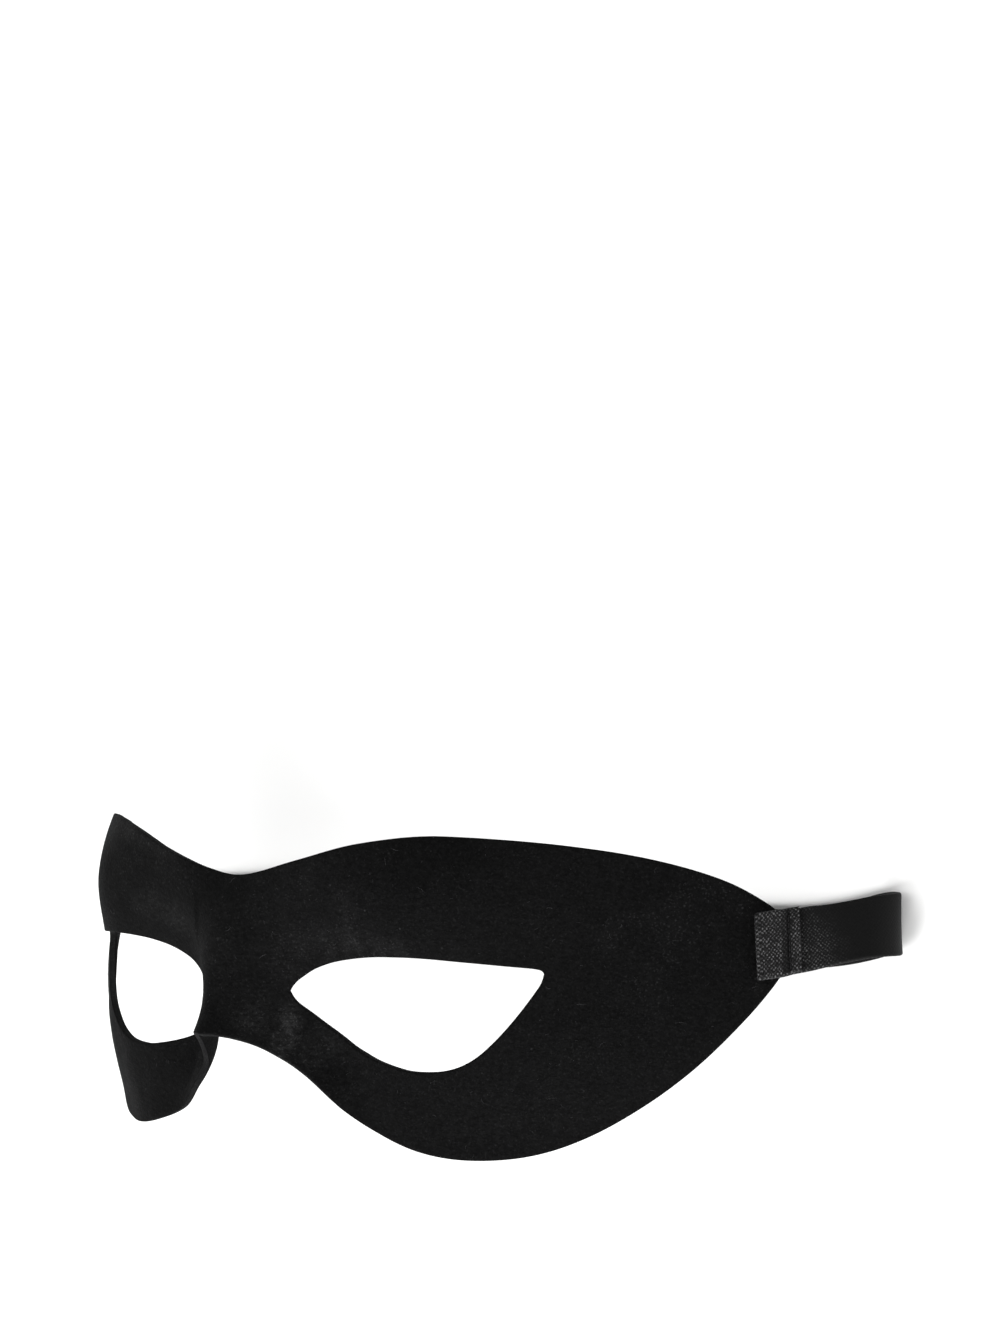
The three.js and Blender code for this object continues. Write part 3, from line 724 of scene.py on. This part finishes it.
def relief_and_light_at(d, a, layer, seen):
    """Relief in mm, how open the knit is, how bright its loops glint (painted
    highlights) and how much painted shade lies by the seam and the cut end,
    at a length and a place across."""
    low = ease(-a, -4.5, 3.0)  # the cheek side of the hem glints more
    hem = layer in ("flap", "fold")
    knit = 1.0 if hem else 1 - ease(d, 8.5, 18.0 + 1.5 * low)
    relief, bright, dark = 0.0, 1.0, 0.0
    if hem and seen:
        # painted highlights on the fine ribs by the fold
        ribs = (1 - ease(d, 1.1, 2.2)) * (0.45 + 0.55 * low)
        wave = math.cos(2 * math.pi * (d - 0.2) / 0.44)
        relief += 0.06 * ribs * wave
        bright += ribs * (0.3 + 0.7 * wave)
        if layer == "flap":
            # relief of the seam and the raw end; painted highlights on the stitch line and the raw end, painted shade
            # in the seam's groove and the zone before it
            relief += -0.34 * hump(d, 6.5, 0.34) - 0.12 * hump(d, 5.7, 0.7)
            relief += 0.08 * hump(d, 4.75, 0.16) + 0.1 * hump(d, 8.05, 0.16) + 0.1 * hump(d, 8.5, 0.15)
            bright -= 0.75 * ease(d, 4.9, 5.4) * (1 - ease(d, 6.3, 7.0)) * (0.45 + 0.55 * low)
            bright += (0.9 * hump(d, 4.75, 0.2) + 0.9 * hump(d, 8.05, 0.17) + 1.6 * hump(d, 8.5, 0.18)) * (0.5 + 0.5 * low)
            dark = 0.95 * hump(d, 6.55, 0.38) + 0.35 * hump(d, 5.8, 0.6) * low + 0.3 * hump(d, 8.28, 0.1)
    elif not hem:
        # loop glints fade along the band; a thin painted shade where it steps off the cut end
        bright = (0.3 + 0.62 * low) * (1 - 0.45 * ease(d, 10, 18))
        dark = 0.1 * hump(d, HEM + 0.25, 0.35) if seen else 0.0
    return relief, knit, max(0.0, bright), min(1.0, dark)


def build_band():
    left, run, right = ribbon_path()
    stations = side_ribbon(left)
    stations += [(p, q @ Vector((1, 0, 0)), q @ Vector((0, 1, 0)), q @ Vector((0, 0, 1)), "run", 99.0, Vector()) for p, q in run]
    flip = lambda v: Vector((-v.x, v.y, v.z))
    for p, t, w, n, layer, d, askew in reversed(side_ribbon(right)):
        stations.append((Vector((2 * SHIFT[0] - p.x, p.y, p.z)), -flip(t), flip(w), flip(n), layer, d, flip(askew)))
    # the section: flat faces with rounded selvedges
    half_w, half_t = BAND_WIDTH / 2, BAND_THICK / 2 - 0.02
    nr, curl = 50, 0.42
    turn = np.linspace(-math.pi / 2, math.pi / 2, 7)
    line = np.linspace(-(half_w - curl), half_w - curl, nr + 1)[1:-1]
    section = [(half_w - curl + curl * math.cos(g), half_t * math.sin(g)) for g in turn]
    section += [(g, half_t) for g in line[::-1]]
    section += [(-(half_w - curl) - curl * math.cos(g), -half_t * math.sin(g)) for g in turn]
    section += [(g, -half_t) for g in line]
    m = len(section)
    co, weave, glint_and_shade, faces = [], [], [], []
    length = 0.0
    before = None
    for p, t, w, n, layer, d, askew in stations:
        if before is not None:
            length += (p - before).length
        before = p
        narrow = 1 + (FREE_WIDTH / BAND_WIDTH - 1) * ease(d, FREE_FROM, FREE_FROM + FREE_EASE)
        ring = []
        for a, b in section:
            face = 1 if b > half_t * 0.98 else -1 if b < -half_t * 0.98 else 0
            fade = min(1.0, max(0.0, (half_w - abs(a)) / 0.9))
            seen = face == -1 if layer in ("flap", "fold") else face == 1
            relief, knit, bright, dark = relief_and_light_at(d, a, layer, seen)
            if face:
                relief += (0.003 + 0.015 * knit) * math.cos(2 * math.pi * a / 1.12) + 0.02 * knit * math.sin(2 * math.pi * length / 0.58) * math.sin(2 * math.pi * a / 0.56)
            push = (b / half_t) * relief * fade if face else 0.0
            ring.append(p + (w + askew) * (a * narrow) + n * (b + push))
            weave.append((length, a, knit))
            glint_and_shade.append((bright, dark, 0.0))
        lift = max(0.0, -min(q.z for q in ring))
        co += [(q.x * 0.001, q.y * 0.001, (q.z + lift) * 0.001) for q in ring]
    rings = len(stations)
    for i in range(rings - 1):
        for j in range(m):
            k = (j + 1) % m
            faces.append((i * m + j, i * m + k, (i + 1) * m + k, (i + 1) * m + j))
    # both cut ends: a slightly domed cap
    for base, sign in ((0, -1), ((rings - 1) * m, 1)):
        p, t = stations[0][0:2] if sign < 0 else stations[-1][0:2]
        tip = len(co)
        out = p + t * (0.12 * sign)
        co.append((out.x * 0.001, out.y * 0.001, out.z * 0.001))
        weave.append((0.0 if sign < 0 else length, 0.0, 1.0))
        glint_and_shade.append((0.4, 0.0, 0.0))
        for j in range(m):
            k = (j + 1) % m
            faces.append((base + k, base + j, tip) if sign < 0 else (base + j, base + k, tip))
    made = make_object("elastic", co, faces, (elastic,), attribute=weave)
    layer = made.data.attributes.new("glint_and_shade", "FLOAT_VECTOR", "POINT")
    layer.data.foreach_set("vector", np.asarray(glint_and_shade, np.float32).ravel())
    return made, left, right, length


band, left_side, right_side, ribbon_length = build_band()
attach(band, "root")
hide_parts("elastic_band")


def build_stitches():
    """The seam on each turned-over end: short stitches sunk into the band."""
    co, faces = [], []
    rng = np.random.default_rng(5)

    def stitch(a, b, out, thick):
        steps, sides = 7, 7
        base = len(co)
        axis = (b - a).normalized()
        side = axis.cross(out).normalized()
        for i in range(steps + 1):
            f = i / steps
            c = a + (b - a) * f + out * (0.12 * math.sin(math.pi * f) - 0.3)
            r = thick * (0.55 + 0.45 * math.sin(math.pi * f))
            for k in range(sides):
                g = 2 * math.pi * k / sides
                v = c + side * r * math.cos(g) + out * r * math.sin(g)
                co.append(tuple(v * 0.001))
        for i in range(steps):
            for k in range(sides):
                j = (k + 1) % sides
                faces.append((base + i * sides + k, base + i * sides + j, base + (i + 1) * sides + j, base + (i + 1) * sides + k))
        faces.append(tuple(base + k for k in reversed(range(sides))))
        faces.append(tuple(base + steps * sides + k for k in range(sides)))

    for side, mirrored in ((left_side, False), (right_side, True)):
        s = [0.0]
        for p, q in zip(side, side[1:]):
            s.append(s[-1] + (q[0] - p[0]).length)
        for d, pitch, lean in ((6.52, 1.15, 0.05),):
            i = int(np.searchsorted(s, d))
            p, q = side[i]
            t, w, n = (q @ Vector(v) for v in ((1, 0, 0), (0, 1, 0), (0, 0, 1)))
            count = int((BAND_WIDTH - 1.4) / pitch)
            for k in range(count):
                a = -BAND_WIDTH / 2 + 0.8 + k * pitch
                wob = rng.uniform(-0.04, 0.04, 2)
                start = p + (w + t * skew(d)) * a + n * (1.5 * BAND_THICK) + t * (wob[0] - lean / 2)
                stop = p + (w + t * skew(d)) * (a + pitch * 0.78) + n * (1.5 * BAND_THICK) + t * (wob[1] + lean / 2)
                out = n
                if mirrored:
                    start, stop, out = (Vector((2 * SHIFT[0] - start.x, start.y, start.z)), Vector((2 * SHIFT[0] - stop.x, stop.y, stop.z)), Vector((-n.x, n.y, n.z)))
                stitch(start, stop, out, 0.11)
    return make_object("seam_stitches", co, faces, (thread,))


stitches = build_stitches()
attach(stitches, "root")

# ------------------------------------------------------------------ the stage
floor_mesh = bpy.data.meshes.new("floor")
floor_mesh.from_pydata([(-3, -3, -0.0002), (3, -3, -0.0002), (3, 3, -0.0002), (-3, 3, -0.0002)], [], [(0, 1, 2, 3)])
floor = bpy.data.objects.new("floor", floor_mesh)
bpy.context.scene.collection.objects.link(floor)
paper = Nodes("pale_floor")
paper.set(Base_Color=(0.86, 0.86, 0.855, 1), Roughness=0.9, Specular_IOR_Level=0.2)
floor_mesh.materials.append(paper.material)


def area_light(name, place, aim, size, power):
    data = bpy.data.lights.new(name, "AREA")
    data.shape = "DISK"
    data.size = size
    data.energy = power
    light = bpy.data.objects.new(name, data)
    light.location = place
    light.rotation_euler = (Vector(aim) - Vector(place)).to_track_quat("-Z", "Y").to_euler()
    bpy.context.scene.collection.objects.link(light)
    return light


CENTRE = Vector((0, 0, 0.05))
right_way = Vector((0.70711, -0.14702, -0.69165))
up_way = Vector((-0.02767, 0.97165, -0.23481))
view_way = Vector((-0.70657, -0.18517, -0.68299))
for name, across, up, towards, far, power in (
    ("key", -0.62, 0.05, 0.78, 1.6, 11),
    ("low_left", -0.6, -0.75, 0.3, 1.7, 20),
    ("low", 0.1, -0.9, 0.45, 1.7, 29),
    ("front", 0.2, -0.6, 0.77, 1.7, 4),
):
    area_light(name, CENTRE + (right_way * across + up_way * up - view_way * towards) * far, CENTRE, 1.2, power)

world = bpy.data.worlds.new("studio")
bpy.context.scene.world = world
world.use_nodes = True
world.node_tree.nodes["Background"].inputs["Color"].default_value = (1, 1, 1, 1)
world.node_tree.nodes["Background"].inputs["Strength"].default_value = 0.45
bpy.context.scene.view_settings.view_transform = "Standard"

# ------------------------------------------------------------------ the camera
camera_data = bpy.data.cameras.new("camera")
camera = bpy.data.objects.new("camera", camera_data)
bpy.context.scene.collection.objects.link(camera)
camera.matrix_world = Matrix.Translation(Vector((0.85574, 0.27065, 0.82287))) @ Matrix((right_way, up_way, -view_way)).transposed().to_4x4()
camera_data.sensor_fit = "HORIZONTAL"
camera_data.sensor_width = 36
camera_data.lens = 216
camera_data.clip_start = 0.05
camera_data.clip_end = 20
bpy.context.scene.camera = camera
